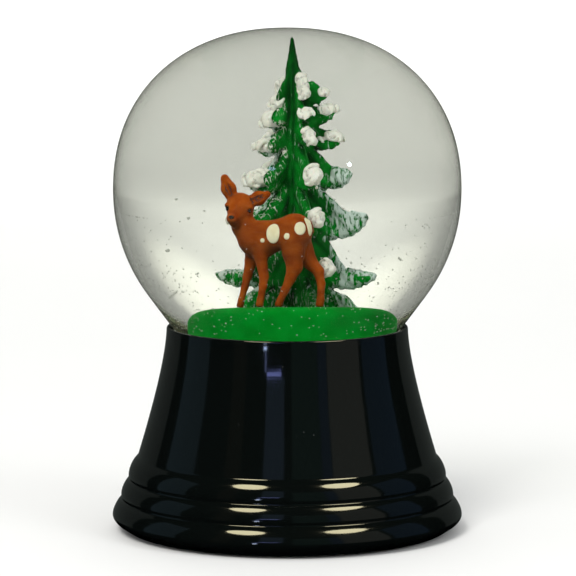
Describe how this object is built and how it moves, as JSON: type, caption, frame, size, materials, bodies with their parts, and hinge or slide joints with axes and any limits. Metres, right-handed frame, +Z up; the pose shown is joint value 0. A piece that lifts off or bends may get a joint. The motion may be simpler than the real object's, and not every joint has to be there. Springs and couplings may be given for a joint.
{
  "type": "snow globe",
  "caption": "Water-filled glass snow globe on a flared black base with beaded foot, holding a standing fawn and a snow-dusted fir tree on a green ground.",
  "frame": {"origin": "centre of the underside, in the plane of the felt's lower face", "axes": "+Z up along the globe's axis, -Y towards the front that the fawn faces, +X to the right seen from the front"},
  "size_m": [0.081, 0.081, 0.1159],
  "materials": {
    "glass": "polished",
    "liquid": "polished",
    "snow": "satin",
    "ground_green": "satin",
    "fir_green": "satin",
    "fawn_paint": "satin",
    "stopper_rubber": "matte",
    "sealing_compound": "satin",
    "plaster": "matte",
    "base_black": "gloss",
    "hardboard": "matte",
    "felt": "matte"
  },
  "bodies": {
    "root": {"glass_globe": "glass", "water_fill": "liquid", "snow_flakes": "snow", "ground_disc": "ground_green", "fir_tree": "fir_green", "fawn": "fawn_paint", "neck_stopper": "stopper_rubber", "neck_seal": "sealing_compound", "plaster_setting": "plaster", "base_shell": "base_black", "bottom_disc": "hardboard", "felt_pad": "felt"}
  },
  "joints": []
}
